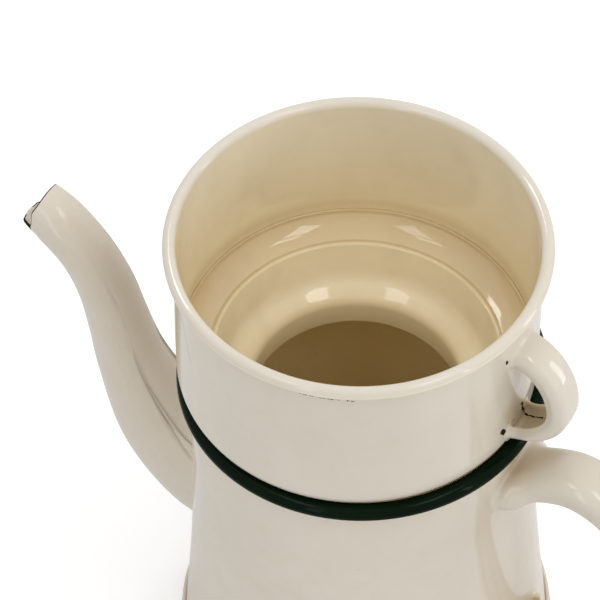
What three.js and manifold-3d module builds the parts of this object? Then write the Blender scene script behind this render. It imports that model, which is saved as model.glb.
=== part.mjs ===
// An enamelled coffee kettle: a waisted pot with a gooseneck spout and a strap handle, and
// the drip filter that stands on the pot's rim. Millimetres, +Z up. The origin is the middle
// of the underside. The handle points to +X and the spout to -X.
import * as THREE from 'three';
import { mergeVertices } from 'three/addons/utils/BufferGeometryUtils.js';
import Module from 'manifold-3d';

const wasm = await Module();
wasm.setup();

// Sheet metal and fits
const SHEET = 1.2;
const GAP = 0.3;
const OVERRUN = 12;

// Pot body
const NECK_RADIUS = 59.4;
const FOOT_RADIUS = 68.4;
const POT_HEIGHT = 151.7;
const FLARE_HEIGHT = 114;
const FLARE_CURVE_SHARE = 1.5;
const FLARE_STEPS = 9;

// Strainer holes behind the spout
const STRAINER_HOLE_RADIUS = 3;
const STRAINER_PITCH = 11;
const STRAINER_RING_HOLES = 6;

// Pot base, a pressed pan round the foot of the body
const BASE_SKIRT = 10.2;
const BASE_BEND = 3;
const GROOVE_RADIUS = 52;
const GROOVE_WIDTH = 8;
const GROOVE_DEPTH = 1.5;
const GROOVE_BEND = 2;

// Pot rim, a curled hoop over the body's top edge
const RIM_BEAD_RADIUS = 3;
const RIM_SHEET = 0.8;
const RIM_OUTSET = 0.5;

// Spout, two pressed halves that meet in the middle plane
const SPOUT_ROOT_REACH = 65;
const SPOUT_ROOT_HEIGHT = 58.4;
const SPOUT_ROOT_RADIUS = 20.7;
const SPOUT_MOUTH_REACH = 127.5;
const SPOUT_MOUTH_HEIGHT = 163.2;
const SPOUT_MOUTH_RADIUS = 9.1;
const SPOUT_LIP = 2.5;
const SPOUT_STATIONS = 16;
const SPOUT_SIDES = 24;
// Each station's place between root and mouth, along and up, and its place between the two radii
const SPOUT_PATH_SHARES = [
  [-0.224, -0.007, 1.13],
  [0, 0, 1],
  [0.289, 0.127, 0.721],
  [0.492, 0.391, 0.312],
  [0.55, 0.552, 0.181],
  [0.622, 0.734, 0.097],
  [0.733, 0.865, 0.051],
  [0.893, 0.962, 0.041],
  [1, 1, 0],
];
const LIP_START_SHARE = 0.86;

// Pot handle, a channel strap. Reaches are from the pot's axis, heights from its foot
const HANDLE_WIDTH = 21;
const HANDLE_DEPTH = 10.8;
const HANDLE_BEND = 4;
const HANDLE_LEAN = 1.5;
const HANDLE_SPREAD = 5;
const HANDLE_SPREAD_LENGTH = 8;
const HANDLE_TOP_HEIGHT = 135.2;
const HANDLE_TOP_HEADING = 0.54;
const HANDLE_APEX_REACH = 82;
const HANDLE_APEX_HEIGHT = 144.2;
const HANDLE_CROWN_REACH = 118;
const HANDLE_CROWN_HEIGHT = 105;
const HANDLE_FOOT_HEIGHT = 31;
const HANDLE_PULL_SHARES = [[0.35, 0.32], [0.35, 0.37], [0.39, 0.36]];
const HANDLE_STATIONS = 24;

// Filter body, off centre on the pot's rim by a small shift towards the spout
const FILTER_SHIFT = 2;
const FILTER_HEIGHT = 64.35;
const FILTER_RIM_RADIUS = 2.16;
const FILTER_TOP_RADIUS = 59.88;
const FILTER_FOOT_RADIUS = 60.77;
const FILTER_CORNER = 5.5;
const LEDGE_RADIUS = 48.8;

// Filter funnel, a stamping laid on the ledge
const FUNNEL_RADIUS = 50.7;
const FUNNEL_FLAT_RADIUS = 47;
const FUNNEL_BEND = 2.5;
const THROAT_RADIUS = 36.1;
const THROAT_TOP_DROP = 17.5;
const THROAT_BEND = 4;
const THROAT_DROP = 25.5;

// Filter handle, a channel strap. Reaches are from the filter's axis, drops from its rim
const GRIP_WIDTH = 15;
const GRIP_DEPTH = 6.5;
const GRIP_BEND = 3;
const GRIP_LEAN = 1.3;
const GRIP_SPREAD = 1;
const GRIP_SPREAD_LENGTH = 5;
const GRIP_TOP_DROP = 13.6;
const GRIP_CROWN_REACH = 79.7;
const GRIP_CROWN_DROP = 39;
const GRIP_FOOT_DROP = 58.6;
const GRIP_PULL_SHARES = [[0.31, 0.43], [0.36, 0.35]];
const GRIP_STATIONS = 16;

// Facets
const ROUND_SIDES = 48;
const HOLE_SIDES = 12;
const ARC_STEP = Math.PI / 4;
const CURL_STEP = Math.PI / 5;

// Sizes that follow from those above
const rimCentreHeight = POT_HEIGHT - RIM_BEAD_RADIUS;
const rimCentreRadius = NECK_RADIUS + RIM_OUTSET;
const bodyFootHeight = BASE_BEND + GAP;
const bodyTopHeight = rimCentreHeight + GAP;

// The filter's own heights are from the centres of its bottom corner
const cornerCentreRadius = FILTER_FOOT_RADIUS - FILTER_CORNER;
const filterRimHeight = FILTER_HEIGHT - FILTER_CORNER - FILTER_RIM_RADIUS;
const funnelTopHeight = SHEET + GAP + SHEET - FILTER_CORNER;

// The shifted filter rests on the rim at its two sides and leans down towards the handle
const seatInset = rimCentreRadius - cornerCentreRadius;
const seatRise = Math.sqrt((FILTER_CORNER + RIM_BEAD_RADIUS + GAP) ** 2 - seatInset ** 2);
const filterLean = Math.asin(FILTER_SHIFT * seatInset / (seatRise * cornerCentreRadius));

// Materials
const enamel = new THREE.MeshStandardMaterial({ color: 0xe8dfcb, roughness: 0.18, metalness: 0 });
const greenEnamel = new THREE.MeshStandardMaterial({ color: 0x10271a, roughness: 0.15, metalness: 0 });

// Paths and outlines, in a plane with the first coordinate outward and the second upward

// A path through corners, each [across, up] or [across, up, bend radius], with its bends as arcs
function bentPath(corners) {
  const path = [];
  corners.forEach(([across, up, bend], i) => {
    const corner = new THREE.Vector2(across, up);
    if (!bend) {
      path.push(corner);
      return;
    }
    const back = new THREE.Vector2(...corners[i - 1].slice(0, 2)).sub(corner).normalize();
    const ahead = new THREE.Vector2(...corners[i + 1].slice(0, 2)).sub(corner).normalize();
    const half = Math.acos(back.dot(ahead)) / 2;
    const middle = back.clone().add(ahead).normalize();
    const centre = corner.clone().addScaledVector(middle, bend / Math.sin(half));
    const start = corner.clone().addScaledVector(back, bend / Math.tan(half)).sub(centre).angle();
    const turn = Math.PI - 2 * half;
    const side = Math.sign(back.y * ahead.x - back.x * ahead.y);
    path.push(...arcPath(centre, bend, start, start + side * turn, ARC_STEP));
  });
  return path;
}

function arcPath(centre, radius, start, end, step) {
  const steps = Math.ceil(Math.abs(end - start) / step);
  return Array.from({ length: steps + 1 }, (_, i) => {
    const angle = start + (end - start) * i / steps;
    return new THREE.Vector2(Math.cos(angle), Math.sin(angle)).multiplyScalar(radius).add(centre);
  });
}

// The path moved to its left
function offsetPath(path, distance) {
  const last = path.length - 1;
  return path.map((point, i) => {
    const into = path[Math.max(i, 1)].clone().sub(path[Math.max(i, 1) - 1]).normalize();
    const out = path[Math.min(i, last - 1) + 1].clone().sub(path[Math.min(i, last - 1)]).normalize();
    const left = new THREE.Vector2(-into.y - out.y, into.x + out.x);
    return point.clone().addScaledVector(left, distance / (1 + into.dot(out)));
  });
}

// The outline of a sheet whose outer face is the path and which lies to the left of it
function sheetOutline(path, sheet) {
  return [...path, ...offsetPath(path, sheet).reverse()];
}

function closed(outline) {
  return [...outline, outline[0].clone()];
}

function revolved(outline) {
  return new THREE.LatheGeometry(outline, ROUND_SIDES).rotateX(Math.PI / 2);
}

// A skin over rings of equally many points, each anticlockwise as seen from the end of the run.
// A looped skin joins the last ring to the first, and any other one is capped at both ends
function lofted(rings, section, looped) {
  const count = section.length;
  const joins = looped ? rings.length : rings.length - 1;
  const faces = [];
  for (let i = 0; i < joins; i += 1) {
    const here = i * count;
    const next = ((i + 1) % rings.length) * count;
    for (let j = 0; j < count; j += 1) {
      const k = (j + 1) % count;
      faces.push(here + j, here + k, next + k, here + j, next + k, next + j);
    }
  }
  if (!looped) {
    const end = (rings.length - 1) * count;
    THREE.ShapeUtils.triangulateShape(section, []).forEach(([a, b, c]) => {
      faces.push(c, b, a, end + a, end + b, end + c);
    });
  }
  const geometry = new THREE.BufferGeometry().setFromPoints(rings.flat());
  geometry.setIndex(faces);
  geometry.computeVertexNormals();
  return geometry;
}

// Solids for joining and cutting

function solidOf(geometry) {
  const bare = geometry.clone();
  bare.deleteAttribute('normal');
  bare.deleteAttribute('uv');
  const merged = mergeVertices(bare);
  return new wasm.Manifold(new wasm.Mesh({
    numProp: 3,
    vertProperties: Float32Array.from(merged.attributes.position.array),
    triVerts: Uint32Array.from(merged.index.array),
  }));
}

function geometryOf(solid) {
  const mesh = solid.getMesh();
  const geometry = new THREE.BufferGeometry();
  geometry.setAttribute('position', new THREE.BufferAttribute(mesh.vertProperties, mesh.numProp));
  geometry.setIndex(new THREE.BufferAttribute(mesh.triVerts, 1));
  geometry.computeVertexNormals();
  return geometry;
}

// Pot

function bodyRadius(height) {
  const below = Math.max(0, 1 - height / FLARE_HEIGHT);
  return NECK_RADIUS + (FOOT_RADIUS - NECK_RADIUS) * below ** FLARE_CURVE_SHARE;
}

function bodyPath(bottom, top) {
  const flare = Array.from({ length: FLARE_STEPS + 1 }, (_, i) => {
    const height = bottom + (FLARE_HEIGHT - bottom) * i / FLARE_STEPS;
    return new THREE.Vector2(bodyRadius(height), height);
  });
  return [...flare, new THREE.Vector2(NECK_RADIUS, top)];
}

// What pieces that stand on a sheet's outer face are cut back to, the gap included
function seatCutter(path) {
  const face = offsetPath(path, -GAP);
  const outline = [
    ...face,
    new THREE.Vector2(OVERRUN, face[face.length - 1].y),
    new THREE.Vector2(OVERRUN, face[0].y),
  ];
  return solidOf(revolved(closed(outline)));
}

function potBody() {
  const sheet = solidOf(revolved(closed(sheetOutline(bodyPath(bodyFootHeight, bodyTopHeight), SHEET))));
  const places = [[0, 0]];
  for (let i = 0; i < STRAINER_RING_HOLES; i += 1) {
    const angle = i * 2 * Math.PI / STRAINER_RING_HOLES;
    places.push([STRAINER_PITCH * Math.cos(angle), STRAINER_PITCH * Math.sin(angle)]);
  }
  return geometryOf(places.reduce((body, [across, up]) => {
    const drill = new THREE.CylinderGeometry(
      STRAINER_HOLE_RADIUS, STRAINER_HOLE_RADIUS, 2 * OVERRUN, HOLE_SIDES,
    );
    drill.rotateZ(Math.PI / 2);
    drill.translate(-bodyRadius(SPOUT_ROOT_HEIGHT), across, SPOUT_ROOT_HEIGHT + up);
    return body.subtract(solidOf(drill));
  }, sheet));
}

function potBase() {
  const grooveInside = GROOVE_RADIUS - GROOVE_WIDTH / 2;
  const grooveOutside = GROOVE_RADIUS + GROOVE_WIDTH / 2;
  const seat = SHEET + GAP;
  return revolved(sheetOutline(bentPath([
    [0, 0],
    [grooveInside, 0, GROOVE_BEND],
    [grooveInside + GROOVE_DEPTH, GROOVE_DEPTH, GROOVE_BEND],
    [grooveOutside - GROOVE_DEPTH, GROOVE_DEPTH, GROOVE_BEND],
    [grooveOutside, 0, GROOVE_BEND],
    [bodyRadius(0) + seat, 0, BASE_BEND],
    [bodyRadius(BASE_SKIRT) + seat, BASE_SKIRT],
  ]), SHEET));
}

function potRim() {
  const inner = RIM_BEAD_RADIUS - RIM_SHEET;
  const centre = new THREE.Vector2(rimCentreRadius, rimCentreHeight);
  const outerEdge = Math.acos((NECK_RADIUS + GAP - rimCentreRadius) / RIM_BEAD_RADIUS);
  const innerEdge = Math.acos((NECK_RADIUS - SHEET - GAP - rimCentreRadius) / inner);
  const curl = arcPath(centre, RIM_BEAD_RADIUS, -outerEdge, 2 * Math.PI - innerEdge, CURL_STEP);
  const lining = arcPath(centre, inner, 2 * Math.PI - innerEdge, -outerEdge, CURL_STEP);
  return revolved(closed([...curl, ...lining]));
}

// Spout

// The spout's centre line runs outward and up, and its third coordinate is its radius
const spoutLine = new THREE.CatmullRomCurve3(SPOUT_PATH_SHARES.map(([along, up, wide]) => (
  new THREE.Vector3(
    SPOUT_ROOT_REACH + (SPOUT_MOUTH_REACH - SPOUT_ROOT_REACH) * along,
    SPOUT_ROOT_HEIGHT + (SPOUT_MOUTH_HEIGHT - SPOUT_ROOT_HEIGHT) * up,
    SPOUT_MOUTH_RADIUS + (SPOUT_ROOT_RADIUS - SPOUT_MOUTH_RADIUS) * wide,
  ))));

// One ring of the spout. Its under side runs out into the pouring lip towards the mouth
function spoutRing(share, inset) {
  const station = spoutLine.getPoint(share);
  const slope = spoutLine.getTangent(share).setZ(0).normalize();
  const pull = THREE.MathUtils.smoothstep(share, LIP_START_SHARE, 1) * SPOUT_LIP;
  return Array.from({ length: SPOUT_SIDES }, (_, i) => {
    const angle = (i + 0.5) * 2 * Math.PI / SPOUT_SIDES;
    const under = Math.sin(angle);
    const ahead = pull * Math.max(0, under) ** 2;
    const radius = station.z - inset;
    const reach = station.x + slope.x * ahead + slope.y * radius * under;
    const height = station.y + slope.y * ahead - slope.x * radius * under;
    return new THREE.Vector3(-reach, radius * Math.cos(angle), height);
  });
}

function spoutSolid() {
  const shares = Array.from({ length: SPOUT_STATIONS + 1 }, (_, i) => i / SPOUT_STATIONS);
  const outside = shares.map((share) => spoutRing(share, 0));
  const inside = shares.map((share) => spoutRing(share, SHEET)).reverse();
  const rings = [...outside, ...inside];
  return solidOf(lofted(rings, rings[0], true)).subtract(seatCutter(bodyPath(0, bodyTopHeight)));
}

function spoutHalf(side) {
  const size = 2 * SPOUT_MOUTH_HEIGHT;
  const half = new THREE.BoxGeometry(size, size, size);
  half.translate(-size / 2, side * size / 2, size / 2);
  return geometryOf(spoutSolid().intersect(solidOf(half)));
}

// Handles

// A strap of channel section along a line from wall to wall. Its web is outside, its flanges lean
// towards each other and both spread a little where they meet the wall
function strap(line, stations, { width, depth, bend, lean, spread, spreadLength }) {
  const half = width / 2;
  const section = sheetOutline(bentPath([
    [half - lean, -depth],
    [half, 0, bend],
    [-half, 0, bend],
    [lean - half, -depth],
  ]), SHEET);
  const total = line.getLength();
  const distances = Array.from({ length: stations + 1 }, (_, i) => {
    const even = i / stations;
    const eased = (1 - Math.cos(Math.PI * even)) / 2;
    return OVERRUN + (total - 2 * OVERRUN) * (even + eased) / 2;
  });
  const rings = [0, ...distances, total].map((distance) => {
    const place = line.getPoint(distance / total);
    const ahead = line.getTangent(distance / total);
    const fromWall = Math.max(0, Math.min(distance, total - distance) - OVERRUN);
    const wider = 1 + spread / half * Math.max(0, 1 - fromWall / spreadLength) ** 2;
    return section.map((point) => new THREE.Vector3(
      place.x - ahead.y * point.y, point.x * wider, place.y + ahead.x * point.y,
    ));
  });
  return solidOf(lofted(rings, section, false));
}

// The line of a strap's web through knots, each [reach, height, heading]. It runs straight on into
// the wall at both ends. A span's two pulls are shares of the distance between its knots
function strapLine(knots, pulls) {
  const places = knots.map(([reach, height]) => new THREE.Vector2(reach, height));
  const headings = knots.map(([, , heading]) => new THREE.Vector2(Math.cos(heading), Math.sin(heading)));
  const first = places[0];
  const last = places[places.length - 1];
  const line = new THREE.CurvePath();
  line.add(new THREE.LineCurve(first.clone().addScaledVector(headings[0], -OVERRUN), first));
  pulls.forEach(([leaving, arriving], i) => {
    const distance = places[i].distanceTo(places[i + 1]);
    line.add(new THREE.CubicBezierCurve(
      places[i],
      places[i].clone().addScaledVector(headings[i], distance * leaving),
      places[i + 1].clone().addScaledVector(headings[i + 1], -distance * arriving),
      places[i + 1],
    ));
  });
  line.add(new THREE.LineCurve(last, last.clone().addScaledVector(headings[headings.length - 1], OVERRUN)));
  return line;
}

function potHandle() {
  const line = strapLine([
    [NECK_RADIUS, HANDLE_TOP_HEIGHT, HANDLE_TOP_HEADING],
    [HANDLE_APEX_REACH, HANDLE_APEX_HEIGHT, 0],
    [HANDLE_CROWN_REACH, HANDLE_CROWN_HEIGHT, -Math.PI / 2],
    [bodyRadius(HANDLE_FOOT_HEIGHT), HANDLE_FOOT_HEIGHT, -Math.PI],
  ], HANDLE_PULL_SHARES);
  const solid = strap(line, HANDLE_STATIONS, {
    width: HANDLE_WIDTH,
    depth: HANDLE_DEPTH,
    bend: HANDLE_BEND,
    lean: HANDLE_LEAN,
    spread: HANDLE_SPREAD,
    spreadLength: HANDLE_SPREAD_LENGTH,
  });
  return geometryOf(solid.subtract(seatCutter(bodyPath(0, bodyTopHeight))));
}

// Filter, in its own frame

function filterWallPath() {
  return bentPath([
    [LEDGE_RADIUS, -FILTER_CORNER],
    [FILTER_FOOT_RADIUS, -FILTER_CORNER, FILTER_CORNER],
    [FILTER_TOP_RADIUS, filterRimHeight],
  ]);
}

function filterBody() {
  const inner = FILTER_RIM_RADIUS - SHEET;
  const centre = new THREE.Vector2(FILTER_TOP_RADIUS + inner, filterRimHeight);
  const curl = arcPath(centre, inner, Math.PI, -Math.PI / 2, CURL_STEP);
  return revolved(closed(sheetOutline([...filterWallPath(), ...curl.slice(1)], SHEET)));
}

function filterFunnel() {
  return revolved(closed(sheetOutline(bentPath([
    [FUNNEL_RADIUS, funnelTopHeight],
    [FUNNEL_FLAT_RADIUS, funnelTopHeight, FUNNEL_BEND],
    [THROAT_RADIUS, funnelTopHeight - THROAT_TOP_DROP, THROAT_BEND],
    [THROAT_RADIUS, funnelTopHeight - THROAT_DROP],
  ]), SHEET)));
}

function filterHandle() {
  const line = strapLine([
    [FILTER_TOP_RADIUS, filterRimHeight - GRIP_TOP_DROP, 0],
    [GRIP_CROWN_REACH, filterRimHeight - GRIP_CROWN_DROP, -Math.PI / 2],
    [FILTER_FOOT_RADIUS, filterRimHeight - GRIP_FOOT_DROP, -Math.PI],
  ], GRIP_PULL_SHARES);
  const solid = strap(line, GRIP_STATIONS, {
    width: GRIP_WIDTH,
    depth: GRIP_DEPTH,
    bend: GRIP_BEND,
    lean: GRIP_LEAN,
    spread: GRIP_SPREAD,
    spreadLength: GRIP_SPREAD_LENGTH,
  });
  return geometryOf(solid.subtract(seatCutter(filterWallPath())));
}

function piece(name, geometry, material) {
  const mesh = new THREE.Mesh(geometry, material);
  mesh.name = name;
  return mesh;
}

const kettle = new THREE.Group();
kettle.add(piece('pot_body', potBody(), enamel));
kettle.add(piece('pot_base', potBase(), enamel));
kettle.add(piece('pot_rim', potRim(), greenEnamel));
kettle.add(piece('spout_left', spoutHalf(-1), enamel));
kettle.add(piece('spout_right', spoutHalf(1), enamel));
kettle.add(piece('pot_handle', potHandle(), enamel));

const filter = new THREE.Group();
filter.position.set(-FILTER_SHIFT, 0, rimCentreHeight + seatRise);
filter.rotation.y = filterLean;
filter.add(piece('filter_body', filterBody(), enamel));
filter.add(piece('filter_funnel', filterFunnel(), enamel));
filter.add(piece('filter_handle', filterHandle(), enamel));
kettle.add(filter);

export default kettle;
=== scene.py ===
"""Enamelled drip coffee kettle: a waisted pot with a gooseneck spout and a strap handle, and the
open drip filter that stands on the pot's rim. Metres, +Z up, the handle towards +X."""

import math
from bisect import bisect_right
from collections import namedtuple

import bmesh
import bpy
from mathutils import Matrix, Vector


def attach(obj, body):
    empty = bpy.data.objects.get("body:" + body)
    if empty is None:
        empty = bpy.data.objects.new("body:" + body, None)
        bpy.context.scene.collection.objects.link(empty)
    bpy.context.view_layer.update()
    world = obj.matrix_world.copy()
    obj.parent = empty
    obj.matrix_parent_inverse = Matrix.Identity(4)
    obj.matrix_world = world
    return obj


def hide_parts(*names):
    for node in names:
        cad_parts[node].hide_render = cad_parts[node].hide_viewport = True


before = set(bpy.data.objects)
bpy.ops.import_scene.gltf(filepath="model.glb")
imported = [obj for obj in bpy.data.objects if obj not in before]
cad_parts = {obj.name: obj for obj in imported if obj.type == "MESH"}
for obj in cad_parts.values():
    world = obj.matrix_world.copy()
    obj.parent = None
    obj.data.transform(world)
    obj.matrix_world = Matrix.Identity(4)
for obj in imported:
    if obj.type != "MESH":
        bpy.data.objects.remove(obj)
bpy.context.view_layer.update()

bl_info = {
    "name": "Enamelled drip coffee kettle",
    "version": (1, 0, 0),
    "blender": (4, 5, 0),
    "location": "3D View > Sidebar > Kettle",
    "description": "Builds an enamelled drip coffee kettle piece by piece",
    "category": "Mesh",
}

# Facets
LATHE_STEPS = 160
ARC_STEP = math.radians(9)
FLARE_STEPS = 40
CAP_STEPS = 6
FILLET_STEPS = 7
SPAN_STEPS = 240
DRILL_SIDES = 32
FLOOR_PARTS = 8

# Vertices nearer than this are one
MERGE_DISTANCE = 1e-6

# How far a strap's line and a drill run on into the wall, and how deep a fillet's foot is sunk
OVERRUN = 0.012
SUNK = 0.00005

# Steps and halvings of the search for the place where a line leaves a wall, and the step over
# which a wall's slope is measured
SEARCH_STEPS = 120
HALVINGS = 24
SLOPE_STEP = 0.00001

# The body's flare, as a power of the height left
FLARE_CURVE = 1.5

# Each station's place between the spout's root and mouth, along and up, and between the two radii
SPOUT_PATH = (
    (-0.224, -0.007, 1.13),
    (0, 0, 1),
    (0.289, 0.127, 0.721),
    (0.492, 0.391, 0.312),
    (0.55, 0.552, 0.181),
    (0.622, 0.734, 0.097),
    (0.733, 0.865, 0.051),
    (0.893, 0.962, 0.041),
    (1, 1, 0),
)
LIP_START_SHARE = 0.86
SPOUT_STATIONS = 84
SPOUT_SIDES = 72

# Shares of the spout: by this one every line has left the wall, and over these its heading and
# its length are measured
OUT_SHARE = 0.5
HEADING_SHARE = 0.0001
LENGTH_SHARE = 0.01

# Where the dark coat shows on the mouth's edge: these rings of it, and every ring between two
# angles from the under side
BARE_RINGS = (1, 2, 3)
BARE_LIP = (12, 60)

# Stations over which the mouth's pale enamel turns tan inside, the painted warm shade on the
# spout's upper side, and how matt its sides are
PALE_STATIONS = 10
SPOUT_WARM_SHADE = 0.25
SPOUT_MATT = 0.4

# The pulls of a strap's curve, as shares of the distance between two of its knots
HANDLE_PULLS = ((0.35, 0.32), (0.35, 0.37), (0.39, 0.36))
GRIP_PULLS = ((0.31, 0.43), (0.36, 0.35))
# Share of the tan inside colour on a strap's inner skin: a warm tint painted as the shade in the
# strap's channel
STRAP_CHANNEL_SHADE = 0.6
HANDLE_STATIONS = 90
GRIP_STATIONS = 60

# The funnel's upper face from its edge at the wall down to its throat: radius, height above the
# middle of the filter's corner, and bend
FUNNEL_CORNERS = (
    (0.0585, 0.0049),
    (0.0583, 0.0039, 0.001),
    (0.0548, 0.0009, 0.01),
    (0.0505, -0.0009),
    (0.0498, -0.00107, 0.0012),
    (0.0483, -0.00084, 0.001),
    (0.0436, -0.0133, 0.01),
    (0.0361, -0.0179, 0.0045),
)

# How far below the bead's middle, as an angle, its green ends
GREEN_ENDS = math.radians(18)

# Strainer holes behind the spout: one in the middle and a ring round it
STRAINER_RING_HOLES = 6

# Heights on the filter's wall round the brown band above the funnel's edge, and the painted shade
# on them, for the corner over the funnel's edge
WALL_SHADE_BAND = ((0.0035, 0.0), (0.0055, 0.2), (0.008, 0.4), (0.0105, 0.2), (0.014, 0.0))

# Radii on the funnel, from its edge inward, and the painted shade on them, darkest in the crevice
# at the wall and in the groove
FUNNEL_SHADE = (
    (0.0585, 0.75), (0.0545, 0.6), (0.0507, 0.45), (0.0499, 0.8), (0.0491, 0.25), (0.0462, 0.1),
    (0.0420, 0.0), (0.0375, 0.15),
)

# The mouth's edge round the spout: degrees from the under side, and shares of the lip, the notch
# beside it and the brow
MOUTH_STOPS = (
    (0, 1, 0, 0),
    (30, 0.75, 0, 0),
    (56, 0, -1, 0),
    (90, 0, -0.4, 0),
    (125, 0, 0, 0.7),
    (180, 0, 0, 1),
)

# What the enamel reads at each vertex: how far it is inside, at an edge, how much painted shade it
# carries, and how matt it is
TAGS = ("inside", "edge", "stained", "matt")
Spot = namedtuple("Spot", ("place", *TAGS), defaults=(0.0,) * len(TAGS))
Lamp = namedtuple("Lamp", "direction upward width near far strength")


def length(name, description, default):
    """A size of the kettle, in metres."""
    return bpy.props.FloatProperty(
        name=name, description=description, default=default, precision=5, unit="LENGTH"
    )


def colour(name, description, default):
    """A colour of the kettle."""
    return bpy.props.FloatVectorProperty(
        name=name, description=description, default=default, size=4, min=0, max=1, subtype="COLOR"
    )


def direction(name, description, default):
    """An angle of a strap or of the camera, with its default in degrees."""
    return bpy.props.FloatProperty(
        name=name, description=description, default=math.radians(default), subtype="ANGLE"
    )


class PotSizes(bpy.types.PropertyGroup):
    """Sizes of the pot, its base and its rim."""

    sheet: length("Sheet", "Thickness of the enamelled sheet", 0.0012)
    gap: length("Gap", "Clearance between two pieces", 0.0003)
    neck_radius: length("Neck radius", "Outer radius of the body's neck", 0.0594)
    foot_radius: length("Foot radius", "Outer radius of the body at the ground", 0.0684)
    height: length("Height", "Height of the pot to the top of its rim", 0.1517)
    flare_height: length("Flare height", "Height up to which the body flares", 0.114)
    hole_radius: length("Strainer hole", "Radius of a strainer hole", 0.003)
    hole_pitch: length("Strainer pitch", "Distance between strainer holes", 0.011)
    skirt: length("Base skirt", "Height of the base's skirt", 0.0102)
    base_bend: length("Base bend", "Bend between the base and its skirt", 0.003)
    groove_radius: length("Groove radius", "Middle radius of the base's groove", 0.052)
    groove_width: length("Groove width", "Width of the base's groove", 0.008)
    groove_depth: length("Groove depth", "Depth of the base's groove", 0.0015)
    groove_bend: length("Groove bend", "Bend at the groove's edges", 0.002)
    bead_radius: length("Rim bead", "Radius of the rim's bead", 0.003)
    rim_sheet: length("Rim sheet", "Thickness of the rim's hoop", 0.0008)
    rim_outset: length("Rim outset", "How far the bead's middle lies outside the neck", 0.0005)


class SpoutSizes(bpy.types.PropertyGroup):
    """Sizes of the gooseneck spout."""

    root_reach: length("Root reach", "Distance of the root from the pot's axis", 0.065)
    root_height: length("Root height", "Height of the root", 0.0584)
    root_radius: length("Root radius", "Radius at the root", 0.0207)
    mouth_reach: length("Mouth reach", "Distance of the mouth from the pot's axis", 0.1275)
    mouth_height: length("Mouth height", "Height of the mouth", 0.1632)
    mouth_radius: length("Mouth radius", "Radius at the mouth", 0.0091)
    lip: length("Lip", "How far the pouring lip runs out", 0.0025)
    notch: length("Notch", "How far the mouth is cut back beside the lip", 0.0034)
    brow: length("Brow", "How far the mouth's top runs out", 0.0014)
    fillet: length("Fillet", "Reach of the fillet round the root", 0.0025)


class HandleSizes(bpy.types.PropertyGroup):
    """Sizes of the pot's strap handle."""

    width: length("Width", "Width of the strap", 0.021)
    depth: length("Depth", "Depth of the strap's channel", 0.0108)
    crown: length("Crown", "How far the web's middle stands above its sides", 0.001)
    crown_bend: length("Crown bend", "Bend along the web's middle", 0.04)
    bend: length("Bend", "Bend between web and flanges", 0.0058)
    lean: length("Lean", "How far each flange leans in", 0.0015)
    spread: length("Spread", "How far the strap spreads at the wall", 0.005)
    spread_length: length("Spread length", "Distance over which the strap spreads", 0.008)
    top_height: length("Top height", "Height of the web at its upper root", 0.1352)
    top_heading: direction("Top heading", "Rise of the strap at its upper root", 30.94)
    apex_reach: length("Apex reach", "Reach of the handle's highest point", 0.082)
    apex_height: length("Apex height", "Height of the handle's highest point", 0.1442)
    crown_reach: length("Crown reach", "Reach of the handle's outermost point", 0.118)
    crown_height: length("Crown height", "Height of the handle's outermost point", 0.105)
    foot_height: length("Foot height", "Height of the web at its lower root", 0.031)
    fillet: length("Fillet", "Reach of the fillets round the roots", 0.0025)


class FilterSizes(bpy.types.PropertyGroup):
    """Sizes of the drip filter and its funnel."""

    shift: length("Shift", "How far the filter is off centre, towards the spout", 0.002)
    height: length("Height", "Height of the filter", 0.06435)
    rim_radius: length("Rim radius", "Outer radius of the rim's curl", 0.00216)
    top_radius: length("Top radius", "Outer radius of the wall at the rim", 0.05988)
    foot_radius: length("Foot radius", "Outer radius of the wall at the bottom", 0.06077)
    corner: length("Corner", "Bend between wall and bottom", 0.0055)
    ledge_radius: length("Ledge radius", "Inner radius of the bottom's ledge", 0.0488)
    ledge_lip: length("Ledge lip", "Height of the ledge's turned up edge", 0.003)
    ledge_bend: length("Ledge bend", "Bend at the ledge's turned up edge", 0.0015)
    throat_radius: length("Throat radius", "Radius of the funnel's throat", 0.0361)
    throat_depth: length("Throat depth", "Depth of the throat's end below the corner", 0.0283)
    funnel_sheet: length("Funnel sheet", "Thickness of the funnel's sheet", 0.001)


class GripSizes(bpy.types.PropertyGroup):
    """Sizes of the filter's strap handle."""

    width: length("Width", "Width of the strap", 0.015)
    depth: length("Depth", "Depth of the strap's channel", 0.0065)
    crown: length("Crown", "How far the web's middle stands above its sides", 0.0007)
    crown_bend: length("Crown bend", "Bend along the web's middle", 0.02)
    bend: length("Bend", "Bend between web and flanges", 0.0034)
    lean: length("Lean", "How far each flange leans in", 0.0013)
    spread: length("Spread", "How far the strap spreads at the wall", 0.001)
    spread_length: length("Spread length", "Distance over which the strap spreads", 0.005)
    top_drop: length("Top drop", "Drop of the upper root from the rim", 0.0136)
    crown_reach: length("Crown reach", "Reach of the outermost point", 0.0797)
    crown_drop: length("Crown drop", "Drop of the outermost point", 0.039)
    foot_drop: length("Foot drop", "Drop of the lower root from the rim", 0.0586)
    fillet: length("Fillet", "Reach of the fillets round the roots", 0.0016)


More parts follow.
